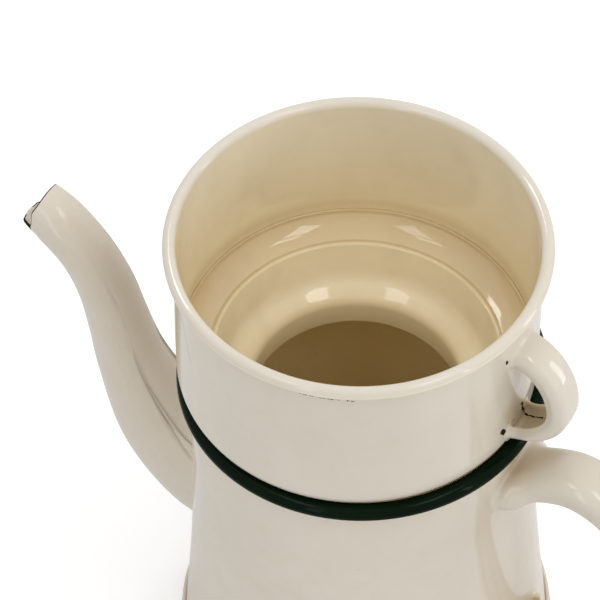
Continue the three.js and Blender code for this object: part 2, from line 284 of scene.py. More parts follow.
class KettleColours(bpy.types.PropertyGroup):
    """Colours of the enamel and of the stage."""

    cream: colour("Cream", "Enamel outside", (0.725, 0.665, 0.567, 1))
    # The tan and deep tan inside are the cream made brighter and warmer: painted light that stands
    # in for the light bouncing round inside the filter and the pot
    tan: colour("Tan", "Enamel inside the filter", (0.94, 0.835, 0.60, 1))
    deep: colour("Deep tan", "Enamel inside the pot", (0.99, 0.81, 0.46, 1))
    stain: colour("Stain", "Old coffee stain", (0.40, 0.25, 0.11, 1))
    # The tint of painted shade: the band over the funnel's edge, the funnel's crevices, the spout's
    # upper side and the patches beside the handles' roots
    shade_tint: colour("Film", "Tint of the thin brown film", (0.66, 0.54, 0.36, 1))
    green: colour("Green", "Enamel of the pot's rim", (0.0008, 0.0065, 0.0014, 1))
    light_green: colour("Light green", "Clouds in the rim's enamel", (0.0014, 0.011, 0.003, 1))
    ground: colour("Ground coat", "Dark coat where the enamel is chipped", (0.012, 0.010, 0.009, 1))
    floor: colour("Floor", "Pale floor", (0.86, 0.86, 0.86, 1))


class StageSizes(bpy.types.PropertyGroup):
    """Camera and lamps."""

    aim_height: length("Aim height", "Height that the camera aims at", 0.2125)
    camera_distance: length("Camera distance", "Distance from the aim to the camera", 0.9309)
    camera_azimuth: direction("Camera azimuth", "Direction of the camera from +X", -60.5)
    camera_elevation: direction("Camera elevation", "Height of the camera above the horizon", 49.11)
    camera_yaw: direction("Camera yaw", "Turn of the camera to the left", 1.209)
    camera_pitch: direction("Camera pitch", "Tilt of the camera upward", -1.0886)
    camera_roll: direction("Camera roll", "Roll of the camera", -0.8422)
    lens: bpy.props.FloatProperty(
        name="Lens", description="Focal length in millimetres", default=174.08, unit="CAMERA"
    )
    lamp_distance: length("Lamp distance", "Distance of the lamps", 0.9)
    glow: bpy.props.FloatProperty(
        name="Glow", description="Radiance of a lamp of strength 1", default=4.5
    )


# Paths and outlines, in a plane with x outward and y upward


def arc_points(centre, radius, start, end):
    """Points along an arc."""
    count = max(2, math.ceil(abs(end - start) / ARC_STEP))
    angles = [start + (end - start) * i / count for i in range(count + 1)]
    return [centre + radius * Vector((math.cos(angle), math.sin(angle))) for angle in angles]


def bent_path(corners):
    """A path through corners, each (x, y) or (x, y, bend radius), with its bends as arcs."""
    path = []
    for i, (x, y, *bend) in enumerate(corners):
        corner = Vector((x, y))
        if not bend:
            path.append(corner)
            continue
        back = (Vector(corners[i - 1][:2]) - corner).normalized()
        ahead = (Vector(corners[i + 1][:2]) - corner).normalized()
        half = back.angle(ahead) / 2
        middle = (back + ahead).normalized()
        centre = corner + middle * bend[0] / math.sin(half)
        first = corner + back * bend[0] / math.tan(half) - centre
        side = math.copysign(1, back.y * ahead.x - back.x * ahead.y)
        start = math.atan2(first.y, first.x)
        path += arc_points(centre, bend[0], start, start + side * (math.pi - 2 * half))
    return path


def offset_path(path, distance):
    """The path moved to its left."""
    moved = []
    for i, point in enumerate(path):
        into = (path[max(i, 1)] - path[max(i, 1) - 1]).normalized()
        out = (path[min(i + 1, len(path) - 1)] - path[min(i, len(path) - 2)]).normalized()
        left = Vector((-into.y - out.y, into.x + out.x))
        moved.append(point + left * distance / (1 + into.dot(out)))
    return moved


def eased_between(stops, at):
    """The value at a place between stops, each (place, value), with a smooth step between two."""
    ordered = sorted(stops)
    if at <= ordered[0][0]:
        return ordered[0][1]
    for (start, first), (end, second) in zip(ordered, ordered[1:]):
        if at <= end:
            share = (at - start) / (end - start)
            return first + (second - first) * share * share * (3 - 2 * share)
    return ordered[-1][1]


def rounded_end(start, end):
    """Points of the half circle that closes a sheet's edge, from one face to the other."""
    middle = (start + end) / 2
    turns = [Matrix.Rotation(math.pi * i / CAP_STEPS, 2) for i in range(1, CAP_STEPS)]
    return [middle + turn @ (start - middle) for turn in turns]


def sheet_outline(path, sheet, left_tag, right_tag, from_axis=False):
    """Outline of a sheet that lies to the left of a path. Each face has a tag that tells inner
    enamel from outer."""
    other = offset_path(path, sheet)
    middle_tag = (left_tag + right_tag) / 2
    spots = [Spot(point, right_tag) for point in path]
    spots += [Spot(point, middle_tag) for point in rounded_end(path[-1], other[-1])]
    spots += [Spot(point, left_tag) for point in reversed(other)]
    if not from_axis:
        spots += [Spot(point, middle_tag) for point in rounded_end(other[0], path[0])]
    return spots


# Meshes


def tagged_mesh():
    """A new mesh with the tags that the enamel reads."""
    made = bmesh.new()
    for tag in TAGS:
        made.verts.layers.float.new(tag)
    return made


def set_tags(made, vert, spot):
    """Copies the tags of a spot to a vertex."""
    for tag in TAGS:
        vert[made.verts.layers.float[tag]] = getattr(spot, tag)


def add_spots(made, spots, places):
    """New vertices at the places, with the tags of the spots."""
    verts = []
    for spot, place in zip(spots, places):
        vert = made.verts.new(place)
        set_tags(made, vert, spot)
        verts.append(vert)
    return verts


def turned(spots, from_axis=False):
    """The outline turned about the axis."""
    made = tagged_mesh()
    verts = add_spots(made, spots, [(spot.place.x, 0, spot.place.y) for spot in spots])
    following = verts[1:] if from_axis else verts[1:] + verts[:1]
    edges = [made.edges.new(pair) for pair in zip(verts, following)]
    bmesh.ops.spin(
        made, geom=verts + edges, cent=(0, 0, 0), axis=(0, 0, 1), dvec=(0, 0, 0),
        angle=math.tau, steps=LATHE_STEPS, use_merge=True, use_duplicate=False,
    )
    bmesh.ops.remove_doubles(made, verts=made.verts, dist=MERGE_DISTANCE)
    bmesh.ops.recalc_face_normals(made, faces=made.faces)
    return made


def extruded_ring(made, ring, spots):
    """One more ring of a skin, extruded from the last one and set on its spots."""
    sides = [made.edges.get(pair) for pair in zip(ring, ring[1:] + ring[:1])]
    new = set(bmesh.ops.extrude_edge_only(made, edges=sides)["geom"])
    following = []
    for vert, spot in zip(ring, spots):
        fresh = next(v for v in (side.other_vert(vert) for side in vert.link_edges) if v in new)
        fresh.co = spot.place
        set_tags(made, fresh, spot)
        following.append(fresh)
    return following


def lofted(rings, looped):
    """A skin over rings of equally many spots. A looped skin's last ring joins its first, and
    else both end rings are folded flat, so that their doubles close the skin."""
    made = tagged_mesh()
    first = add_spots(made, rings[0], [spot.place for spot in rings[0]])
    for pair in zip(first, first[1:] + first[:1]):
        made.edges.new(pair)
    ring = first
    for spots in rings[1:]:
        ring = extruded_ring(made, ring, spots)
    if looped:
        bmesh.ops.bridge_loops(made, edges=[side for side in made.edges if side.is_boundary])
    else:
        bmesh.ops.remove_doubles(made, verts=made.verts, dist=MERGE_DISTANCE)
    bmesh.ops.recalc_face_normals(made, faces=made.faces)
    return made


def add_piece(context, name, made, body, nodes, finish=None):
    """The finished piece in the scene, in place of its CAD nodes. It has its body's cream enamel
    where no other finish is given. The filter's pieces are made in its own frame."""
    if body == "filter":
        place = filter_place(context.scene.kettle_pot, context.scene.kettle_filter)
        bmesh.ops.transform(made, matrix=place, verts=made.verts)
    mesh = bpy.data.meshes.new(name)
    made.to_mesh(mesh)
    made.free()
    mesh.shade_smooth()
    mesh.materials.append(finish or body_enamel(context.scene, body))
    piece = bpy.data.objects.new(name, mesh)
    context.scene.collection.objects.link(piece)
    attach(piece, body)
    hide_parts(*nodes)
    return piece


# Walls that other pieces stand on. A wall is a function from height to radius


def body_wall(pot):
    """The pot body's outer radius at a height."""
    def radius_at(height):
        below = max(0.0, 1 - height / pot.flare_height)
        return pot.neck_radius + (pot.foot_radius - pot.neck_radius) * below ** FLARE_CURVE
    return radius_at


def filter_wall(sizes):
    """The filter wall's outer radius at a height above its corner."""
    rise = (sizes.foot_radius - sizes.top_radius) / (filter_rim_height(sizes) + sizes.corner)

    def radius_at(height):
        return sizes.foot_radius - rise * (height + sizes.corner)
    return radius_at


def wall_normal(point, radius_at):
    """The outward direction of a wall at a point on it."""
    rise = radius_at(point.z + SLOPE_STEP) - radius_at(point.z - SLOPE_STEP)
    slope = rise / (2 * SLOPE_STEP)
    return Vector((point.x, point.y, -slope * math.hypot(point.x, point.y))).normalized()


def onto_wall(point, radius_at, sunk):
    """The point moved straight towards or from the axis, to lie a little under a wall's face."""
    scale = (radius_at(point.z) - sunk) / math.hypot(point.x, point.y)
    return Vector((point.x * scale, point.y * scale, point.z))


def leaving_wall(rail, start, end, radius_at, sunk=0.0):
    """Where a rail that starts behind a wall's face comes out of it."""
    def outside(distance):
        point = rail(distance)
        return math.hypot(point.x, point.y) > radius_at(point.z) - sunk

    behind = start
    for i in range(1, SEARCH_STEPS + 1):
        before = start + (end - start) * i / SEARCH_STEPS
        if outside(before):
            break
        behind = before
    for _ in range(HALVINGS):
        middle = (behind + before) / 2
        if outside(middle):
            before = middle
        else:
            behind = middle
    return before


def fillet_rings(rails, feet_at, starts_at, radius_at, reach):
    """Rings from a wall's face up the rails, hollow like a run of glaze. They begin round the feet,
    where the rails leave the wall, and end at the starts of what the fillet carries."""
    feet = [rail(distance) for rail, distance in zip(rails, feet_at)]
    starts = [rail(distance) for rail, distance in zip(rails, starts_at)]
    centre = sum(feet, Vector((0, 0, 0))) / len(feet)
    following = feet[1:] + feet[:1]
    area = sum(((a - centre).cross(b - centre) for a, b in zip(feet, following)), Vector((0, 0, 0)))
    turn = math.copysign(1, area.dot(wall_normal(centre, radius_at)))
    toes = []
    for i, foot in enumerate(feet):
        along = following[i] - feet[i - 1]
        away = along.cross(wall_normal(foot, radius_at)).normalized() * turn
        toes.append(onto_wall(foot + away * reach, radius_at, SUNK))
    rings = []
    for i in range(FILLET_STEPS + 1):
        share = i / FILLET_STEPS
        rings.append([
            toe * (1 - share) ** 2 + foot * 2 * share * (1 - share) + start * share ** 2
            for toe, foot, start in zip(toes, feet, starts)
        ])
    return rings


# Spout


def spline_point(points, share):
    """A point on the centripetal spline through points."""
    last = len(points) - 1
    span = min(int(share * last), last - 1)
    weight = share * last - span
    middle, following = points[span], points[span + 1]
    before = points[span - 1] if span > 0 else 2 * points[0] - points[1]
    after = points[span + 2] if span + 2 <= last else 2 * points[last] - points[last - 1]
    lead = math.sqrt((middle - before).length)
    step = math.sqrt((following - middle).length)
    trail = math.sqrt((after - following).length)
    leaving = (middle - before) / lead - (following - before) / (lead + step)
    leaving = (leaving + (following - middle) / step) * step
    arriving = (following - middle) / step - (after - middle) / (step + trail)
    arriving = (arriving + (after - following) / trail) * step
    return (
        middle
        + leaving * weight
        + (3 * (following - middle) - 2 * leaving - arriving) * weight ** 2
        + (2 * (middle - following) + leaving + arriving) * weight ** 3
    )


def from_under_side(angle):
    """Degrees between an angle round the spout and its under side."""
    return abs((math.degrees(angle) + 90) % 360 - 180)


def spout_rail(spout, knots, angle, inset):
    """One line along the spout, as a function of its share of the way to the mouth. The under
    side runs out into the pouring lip."""
    under = math.sin(angle)
    stops = [
        (turn, lip * spout.lip + notch * spout.notch + brow * spout.brow)
        for turn, lip, notch, brow in MOUTH_STOPS
    ]
    runs_out = eased_between(stops, from_under_side(angle))

    def rail(share):
        station = spline_point(knots, share)
        before = spline_point(knots, max(share - HEADING_SHARE, 0))
        ahead = spline_point(knots, min(share + HEADING_SHARE, 1)) - before
        slope = Vector((ahead.x, ahead.y)).normalized()
        eased = max(0.0, (share - LIP_START_SHARE) / (1 - LIP_START_SHARE))
        pull = eased * eased * (3 - 2 * eased) * runs_out
        radius = station.z - inset
        return Vector((
            -(station.x + slope.x * pull + slope.y * radius * under),
            radius * math.cos(angle),
            station.y + slope.y * pull - slope.x * radius * under,
        ))
    return rail


def spout_rings(pot, spout):
    """Rings of the spout, from the fillet at its root over the lip and back down inside."""
    radius_at = body_wall(pot)
    knots = [
        Vector((
            spout.root_reach + (spout.mouth_reach - spout.root_reach) * along,
            spout.root_height + (spout.mouth_height - spout.root_height) * up,
            spout.mouth_radius + (spout.root_radius - spout.mouth_radius) * wide,
        ))
        for along, up, wide in SPOUT_PATH
    ]
    angles = [math.tau * i / SPOUT_SIDES for i in range(SPOUT_SIDES)]
    outer = [spout_rail(spout, knots, angle, 0) for angle in angles]
    inner = [spout_rail(spout, knots, angle, pot.sheet) for angle in angles]
    out_at = [leaving_wall(rail, 0, OUT_SHARE, radius_at) for rail in outer]
    in_at = [leaving_wall(rail, 0, OUT_SHARE, radius_at, pot.gap) for rail in inner]
    speed = (outer[0](1) - outer[0](1 - LENGTH_SHARE)).length / LENGTH_SHARE
    mouth = 1 - pot.sheet / 2 / speed
    starts_at = []
    for rail, share in zip(outer, out_at):
        root_speed = (rail(share + LENGTH_SHARE) - rail(share)).length / LENGTH_SHARE
        starts_at.append(share + spout.fillet / root_speed)
    matt = [max(0.0, SPOUT_MATT - math.sin(angle)) for angle in angles]
    rings = [
        [Spot(place, matt=dull) for place, dull in zip(ring, matt)]
        for ring in fillet_rings(outer, out_at, starts_at, radius_at, spout.fillet)
    ]
    for i in range(1, SPOUT_STATIONS + 1):
        part = i / SPOUT_STATIONS
        # Painted warm shade on the spout's upper side, strongest midway along it
        warm_shade = SPOUT_WARM_SHADE * math.sin(math.pi * part)
        places = [rail(start + (mouth - start) * part) for rail, start in zip(outer, starts_at)]
        rings.append([
            Spot(place, stained=warm_shade * max(0.0, -math.sin(angle)), matt=dull * (1 - part ** 2))
            for place, angle, dull in zip(places, angles, matt)
        ])
    ahead = spline_point(knots, 1) - spline_point(knots, 1 - LENGTH_SHARE)
    out = Vector((-ahead.x, 0, ahead.y)).normalized()
    for i in range(1, CAP_STEPS):
        turn = math.pi * i / CAP_STEPS
        ring = []
        for outside, within, angle in zip(outer, inner, angles):
            middle = (outside(mouth) + within(mouth)) / 2
            aside = (outside(mouth) - middle) * math.cos(turn)
            bare = i in BARE_RINGS or BARE_LIP[0] < from_under_side(angle) < BARE_LIP[1]
            place = middle + aside + out * math.sin(turn) * pot.sheet / 2
            ring.append(Spot(place, edge=float(bare)))
        rings.append(ring)
    for i in range(SPOUT_STATIONS + 1):
        part = 1 - i / SPOUT_STATIONS
        deep = min(1.0, i / PALE_STATIONS)
        shares = [start + (mouth - start) * part for start in in_at]
        rings.append([Spot(rail(share), deep) for rail, share in zip(inner, shares)])
    return rings


# Straps


class StrapLine:
    """The line of a strap's web through knots, each (reach, height, heading). It runs straight on
    into the wall at both ends. A span's two pulls are shares of the distance between its knots."""

    def __init__(self, knots, pulls):
        places = [Vector(knot[:2]) for knot in knots]
        headings = [Vector((math.cos(knot[2]), math.sin(knot[2]))) for knot in knots]
        points = [places[0] - headings[0] * OVERRUN, places[0]]
        for i, (leaving, arriving) in enumerate(pulls):
            start, end = places[i], places[i + 1]
            reach = (end - start).length
            first = start + headings[i] * reach * leaving
            second = end - headings[i + 1] * reach * arriving
            for k in range(1, SPAN_STEPS + 1):
                t = k / SPAN_STEPS
                points.append(
                    start * (1 - t) ** 3 + first * 3 * t * (1 - t) ** 2
                    + second * 3 * t ** 2 * (1 - t) + end * t ** 3
                )
        points.append(places[-1] + headings[-1] * OVERRUN)
        self.points = points
        self.distances = [0.0]
        for before, after in zip(points, points[1:]):
            self.distances.append(self.distances[-1] + (after - before).length)
        last = len(points) - 1
        self.headings = [
            (points[min(i + 1, last)] - points[max(i - 1, 0)]).normalized() for i in range(last + 1)
        ]
        self.headings[0] = headings[0]
        self.headings[1] = headings[0]
        self.headings[-2] = headings[-1]
        self.length = self.distances[-1]

    def at(self, distance):
        """The place and the heading at a distance along the line."""
        i = min(max(bisect_right(self.distances, distance) - 1, 0), len(self.points) - 2)
        part = (distance - self.distances[i]) / (self.distances[i + 1] - self.distances[i])
        place = self.points[i].lerp(self.points[i + 1], part)
        return place, self.headings[i].lerp(self.headings[i + 1], part).normalized()


def strap_rail(line, strap, point):
    """The line that one point of a strap's section runs along."""
    def rail(distance):
        place, ahead = line.at(distance)
        from_wall = max(0.0, min(distance, line.length - distance) - OVERRUN)
        nearness = max(0.0, 1 - from_wall / strap.spread_length)
        wider = 1 + strap.spread / (strap.width / 2) * nearness ** 2
        return Vector((place.x - ahead.y * point.y, point.x * wider, place.y + ahead.x * point.y))
    return rail


def folded(ring):
    """A sheet's ring folded flat onto the middle of the sheet, to close its end along the wall."""
    last = len(ring) - CAP_STEPS
    reach = (last - CAP_STEPS + 1) // 2
    middles = [(ring[i] + ring[last - i]) / 2 for i in range(reach + 1)]
    turn = [middles[-1]] * (CAP_STEPS - 1)
    return middles + turn + middles[::-1] + [middles[0]] * (CAP_STEPS - 1)


def strap_rings(line, strap, sheet, radius_at, stations):
    """Rings of a channel strap from wall to wall, with a fillet at each root."""
    half = strap.width / 2
    lift = strap.crown_bend * (math.hypot(half, strap.crown) / half - 1)
    section = sheet_outline(bent_path([
        (half - strap.lean, -strap.depth),
        (half, -strap.crown, strap.bend),
        (0, lift, strap.crown_bend),
        (-half, -strap.crown, strap.bend),
        (strap.lean - half, -strap.depth),
    ]), sheet, STRAP_CHANNEL_SHADE, 0.0)
    rails = [strap_rail(line, strap, spot.place) for spot in section]
    middle = line.length / 2
    roots = [leaving_wall(rail, 0, middle, radius_at) for rail in rails]
    ends = [leaving_wall(rail, line.length, middle, radius_at) for rail in rails]
    tops = [distance + strap.fillet for distance in roots]
    bottoms = [distance - strap.fillet for distance in ends]
    rings = fillet_rings(rails, roots, tops, radius_at, strap.fillet)
    for i in range(1, stations):
        part = i / stations
        rings.append([
            rail(top + (bottom - top) * part) for rail, top, bottom in zip(rails, tops, bottoms)
        ])
    rings += reversed(fillet_rings(rails, ends, bottoms, radius_at, strap.fillet))
    rings = [folded(rings[0]), *rings, folded(rings[-1])]
    return [[Spot(place, spot.inside) for place, spot in zip(ring, section)] for ring in rings]


# Filter frame


def filter_rim_height(sizes):
    """Height of the centre of the rim's curl above the filter's corner centres."""
    return sizes.height - sizes.corner - sizes.rim_radius


def filter_place(pot, sizes):
    """The filter's place on the pot's rim: it is shifted a little, and so it leans a little."""
    centre_radius = sizes.foot_radius - sizes.corner
    inset = pot.neck_radius + pot.rim_outset - centre_radius
    rise = math.sqrt((sizes.corner + pot.bead_radius + pot.gap) ** 2 - inset ** 2)
    lean = math.asin(sizes.shift * inset / (rise * centre_radius))
    place = Vector((-sizes.shift, 0, pot.height - pot.bead_radius + rise))
    return Matrix.Translation(place) @ Matrix.Rotation(lean, 4, "Y")


# Finishes


class Signal:
    """A node's output. Python's operators on it add Math nodes."""

    def __init__(self, network, socket):
        self.network = network
        self.socket = socket

    def maths(self, operation, first, second):
        return self.network.node("ShaderNodeMath", {"operation": operation}, {0: first, 1: second})

    def __add__(self, other):
        return self.maths("ADD", self, other)

    def __radd__(self, other):
        return self.maths("ADD", other, self)

    def __sub__(self, other):
        return self.maths("SUBTRACT", self, other)

    def __rsub__(self, other):
        return self.maths("SUBTRACT", other, self)

    def __mul__(self, other):
        return self.maths("MULTIPLY", self, other)

    def __rmul__(self, other):
        return self.maths("MULTIPLY", other, self)

    def __or__(self, other):
        return self.maths("MAXIMUM", self, other)

    def __ror__(self, other):
        return self.maths("MAXIMUM", other, self)


class Network:
    """The nodes of a material or of the world."""

    def __init__(self, holder):
        holder.use_nodes = True
        self.holder = holder
        self.tree = holder.node_tree
        self.tree.nodes.clear()

    def node(self, kind, settings, inputs, output=0):
        """A new node, its settings first and then its sockets, and one of its outputs."""
        made = self.tree.nodes.new(kind)
        for name, value in settings.items():
            setattr(made, name, value)
        for name, value in inputs.items():
            if isinstance(value, Signal):
                self.tree.links.new(value.socket, made.inputs[name])
            else:
                made.inputs[name].default_value = value
        return Signal(self, made.outputs[output]) if len(made.outputs) else None

    def place(self):
        """The point on the object."""
        return self.node("ShaderNodeTexCoord", {}, {}, "Object")

    def ray(self, kind):
        """1 on the rays of a kind."""
        return self.node("ShaderNodeLightPath", {}, {}, kind)

    def tag(self, name):
        """A tag of the mesh."""
        return self.node("ShaderNodeAttribute", {"attribute_name": name}, {}, "Fac")

    def noise(self, place, scale, detail=3.0, roughness=0.55):
        """Cloudy noise from 0 to 1, with its features 1 / scale metres wide."""
        inputs = {"Vector": place, "Scale": scale, "Detail": detail, "Roughness": roughness}
        return self.node("ShaderNodeTexNoise", {}, inputs, "Fac")

    def step(self, value, low, high):
        """0 where a value is under low, 1 where it is over high, and a smooth step between."""
        settings = {"interpolation_type": "SMOOTHSTEP"}
        inputs = {"Value": value, "From Min": low, "From Max": high}
        return self.node("ShaderNodeMapRange", settings, inputs)

    def mix(self, share, first, second):
        """A colour between two others."""
        settings = {"data_type": "RGBA", "blend_type": "MIX"}
        return self.node("ShaderNodeMix", settings, {0: share, 6: first, 7: second}, 2)

    def tinted(self, amount, base, tint):
        """A colour multiplied by a tint, by a share."""
        settings = {"data_type": "RGBA", "blend_type": "MULTIPLY"}
        return self.node("ShaderNodeMix", settings, {0: amount, 6: base, 7: tint}, 2)

    def vector(self, operation, first, second, output=0):
        """A sum on vectors. The second value of SCALE is a number."""
        second_socket = "Scale" if operation == "SCALE" else 1
        inputs = {0: first, second_socket: second}
        return self.node("ShaderNodeVectorMath", {"operation": operation}, inputs, output)

    def streak(self, place, start, end, radius, core=0.85):
        """1 on the line between two points, and 0 from the radius on. The core is the share of
        the radius that is 1 throughout."""
        line = end - start
        from_start = self.vector("SUBTRACT", place, tuple(start))
        along = self.vector("DOT_PRODUCT", from_start, tuple(line / line.length_squared), "Value")
        settings = {"operation": "ADD", "use_clamp": True}
        along = self.node("ShaderNodeMath", settings, {0: along, 1: 0.0})
        nearest = self.vector("SCALE", tuple(line), along)
        away = self.vector("DISTANCE", from_start, nearest, "Value")
        return 1 - self.step(away, radius * core, radius)

    def wobbled(self, place, scale, amount):
        """The point on the object, shifted a little by noise."""
        inputs = {"Vector": place, "Scale": scale, "Detail": 3.0}
        noise = self.node("ShaderNodeTexNoise", {}, inputs, "Color")
        centred = self.vector("SUBTRACT", noise, (0.5, 0.5, 0.5))
        return self.vector("ADD", place, self.vector("SCALE", centred, amount))

    def bump(self, height, strength, distance):
        """The surface's direction on a fine relief."""
        inputs = {"Height": height, "Strength": strength, "Distance": distance}
        return self.node("ShaderNodeBump", {}, inputs)

    def surface(self, inputs):
        """The shader of a solid surface."""
        return self.node("ShaderNodeBsdfPrincipled", {}, inputs)

    def output(self, shader):
        """The material, with the shader as its surface."""
        self.node("ShaderNodeOutputMaterial", {"target": "ALL"}, {"Surface": shader})
        return self.holder


# Features in a metre of the cream enamel's noises
CLOUDS = 18
MOTTLES = 140
GRAINS = 900
STAINS = 45
PINHOLES = 95
CHIPS = 500

# Between which values each of them sets in. A pinhole ends between two distances, which are
# shares of its cell, and only some cells have one
CLOUD_EDGES = (0.35, 0.75)
MOTTLE_EDGES = (0.45, 0.8)
STAIN_EDGES = (0.5, 0.75)
PINHOLE_EDGES = (0.018, 0.035)
PINHOLE_PICK = (0.62, 0.66)
CHIP_EDGES = (0.95, 1.1)

# How much each of them, and a patch of painted shade, shades the enamel, and the tint of clouds and
# mottles
CLOUD_SHADE = 0.3
MOTTLE_SHADE = 0.2
SHADE_PATCH_STRENGTH = 0.6
STAIN_SHADE = 0.1
PINHOLE_SHADE = 0.7
CLOUD_TINT = (0.88, 0.85, 0.78, 1)

# Width of the band in which noise shifts the edges of dark marks
WANDER = 0.0012

# Roughness of clean enamel, and what mottles and matt places add to it
GLOSS = 0.035
MOTTLED = 0.03
MOTTLED_EDGES = (0.4, 0.8)
MATT = 0.35
ENAMEL_IOR = 1.5

# Relief: the shares of clouds and of grain in it, and its strength and depth
CLOUD_RELIEF = 0.5
GRAIN_RELIEF = 0.02
RELIEF = (0.35, 0.0004)


def enamel(name, colours, within, marks_at, shade_patches_at):
    """Old cream enamel: cloudy, lighter and warmer inside as painted bounced light, with stains
    inside, pinholes, marks and painted shade.
    """
    finish = Network(bpy.data.materials.new(name))
    place = finish.place()
    inside = finish.tag("inside")
    cloud = finish.noise(place, CLOUDS)
    mottle = finish.noise(place, MOTTLES, detail=4.0)
    grain = finish.noise(place, GRAINS, detail=2.0)
    base = finish.mix(inside, tuple(colours.cream), tuple(within))
    base = finish.tinted(finish.step(cloud, *CLOUD_EDGES) * CLOUD_SHADE, base, CLOUD_TINT)
    base = finish.tinted(finish.step(mottle, *MOTTLE_EDGES) * MOTTLE_SHADE, base, CLOUD_TINT)
    # Painted shade: the tag's bands and the patches beside the handles, multiplied in with the
    # shade tint
    brown = finish.tag("stained")
    for start, end, radius in shade_patches_at:
        brown = brown | finish.streak(place, start, end, radius, core=0.0) * SHADE_PATCH_STRENGTH
    base = finish.tinted(brown, base, tuple(colours.shade_tint))
    stain = finish.step(finish.noise(place, STAINS, detail=5.0), *STAIN_EDGES)
    base = finish.mix(stain * inside * STAIN_SHADE, base, tuple(colours.stain))
    cells = {"Vector": place, "Scale": PINHOLES}
    away = finish.node("ShaderNodeTexVoronoi", {"feature": "F1"}, cells, "Distance")
    pick = finish.node("ShaderNodeTexVoronoi", {"feature": "F1"}, cells, "Color")
    pins = (1 - finish.step(away, *PINHOLE_EDGES)) * finish.step(pick, *PINHOLE_PICK)
    base = finish.mix(pins * PINHOLE_SHADE, base, tuple(colours.stain))
    wobble = finish.wobbled(place, GRAINS, WANDER)
    marks = finish.step(finish.tag("edge") + finish.noise(place, CHIPS) * 0.5, *CHIP_EDGES)
    for start, end, radius in marks_at:
        marks = marks | finish.streak(wobble, start, end, radius)
    dull = finish.step(mottle, *MOTTLED_EDGES) * MOTTLED + finish.tag("matt") * MATT
    bump = finish.bump(cloud * CLOUD_RELIEF + grain * GRAIN_RELIEF - marks, *RELIEF)
    glaze = finish.surface({
        "Base Color": base, "Roughness": dull + GLOSS, "Normal": bump, "IOR": ENAMEL_IOR,
    })
    bare = finish.surface({
        "Base Color": tuple(colours.ground), "Roughness": 0.8, "Specular IOR Level": 0.1,
        "Normal": bump,
    })
    return finish.output(finish.node("ShaderNodeMixShader", {}, {0: marks, 1: glaze, 2: bare}))


# The same for the green enamel, where worn places take the place of mottles
GREEN_CLOUDS = 60
GREEN_GRAINS = 700
GREEN_WEAR = 420
GREEN_CLOUD_EDGES = (0.4, 0.8)
GREEN_WEAR_EDGES = (0.72, 0.78)
GREEN_CLOUD_SHADE = 0.6
GREEN_WEAR_SHADE = 0.5
GREEN_GLOSS = 0.05
GREEN_CLOUDED = 0.06
GREEN_WORN = 0.2
GREEN_SPECULAR = 0.06
GREEN_GRAIN_RELIEF = 0.08
GREEN_RELIEF = (0.3, 0.0003)
CREAM_LINE_EDGES = (0.45, 0.6)


def green_enamel(colours):
    """Dark green enamel with a deep gloss, that ends in a cream line under the bead."""
    finish = Network(bpy.data.materials.new("green_enamel"))
    place = finish.place()
    cloud = finish.noise(place, GREEN_CLOUDS)
    grain = finish.noise(place, GREEN_GRAINS, detail=2.0)
    clouded = finish.step(cloud, *GREEN_CLOUD_EDGES)
    worn = finish.step(finish.noise(place, GREEN_WEAR, detail=4.0), *GREEN_WEAR_EDGES)
    line = finish.step(finish.tag("edge"), *CREAM_LINE_EDGES)
    green = tuple(colours.green)
    base = finish.mix(clouded * GREEN_CLOUD_SHADE, green, tuple(colours.light_green))
    base = finish.mix(worn * GREEN_WEAR_SHADE, base, tuple(colours.ground))
    base = finish.mix(line, base, tuple(colours.cream))
    bump = finish.bump(cloud * CLOUD_RELIEF + grain * GREEN_GRAIN_RELIEF, *GREEN_RELIEF)
    return finish.output(finish.surface({
        "Base Color": base, "Roughness": clouded * GREEN_CLOUDED + worn * GREEN_WORN + GREEN_GLOSS,
        "Normal": bump, "IOR": ENAMEL_IOR, "Specular IOR Level": GREEN_SPECULAR,
    }))


# Patches of painted shade beside the pot handle's upper root: for each point that a patch runs
# through its place from the root, outward, across and up, and then the patch's radius
POT_SHADE_PATCHES = (
    (((0.001, -0.006, 0), (0.008, 0.003, 0.004)), 0.011),
)

# Dark marks on the filter: for each point that a mark runs through its azimuth in degrees, drop
# from the rim and distance from the wall, and then the mark's radius
FILTER_MARKS = (
    (((-9.6, 0.0140, 0), (-9.2, 0.0150, 0)), 0.0006),
    (((-9.8, 0.0500, 0), (-8.6, 0.0520, 0)), 0.0011),
    (((-6.8, 0.0488, 0), (-6.5, 0.0490, 0)), 0.0003),
    (((-3.8, 0.0507, 0), (-3.5, 0.0509, 0)), 0.0003),
    (((1.6, 0.0480, 0), (2.6, 0.0495, 0), (2.4, 0.0520, 0), (4.1, 0.0544, 0)), 0.0006),
    (((4.1, 0.0544, 0), (4.1, 0.0567, 0.0009)), 0.0006),
    (((4.1, 0.0567, 0.0009), (4.0, 0.0564, 0.0031), (3.8, 0.0555, 0.0056)), 0.0003),
    (((3.8, 0.0555, 0.0056), (3.7, 0.0537, 0.0085)), 0.0004),
    # A thin line along the front of the curl's lower edge: painted shadow under the curl, with real
    # dark chips along it
    (((-84, 0.0040, 0), (-78.6, 0.0049, 0), (-69.5, 0.0051, 0), (-62, 0.0052, 0)), 0.00012),
)

# Patches of painted shade on the filter, as points and a radius in the same way: one on the wall
# under the grip, and a thin line along a crease in the wall
FILTER_SHADE_PATCHES = (
    (((-5, 0.0455, 0.001), (4, 0.0520, 0.002)), 0.011),
    (((-131.5, 0.0113, 0), (-124.7, 0.0282, 0)), 0.0006),
)


def streaks(lines, place_at):
    """The straight parts of lines, each (points, radius), as (start, end, radius)."""
    found = []
    for points, radius in lines:
        places = [place_at(*point) for point in points]
        found += [(start, end, radius) for start, end in zip(places, places[1:])]
    return found


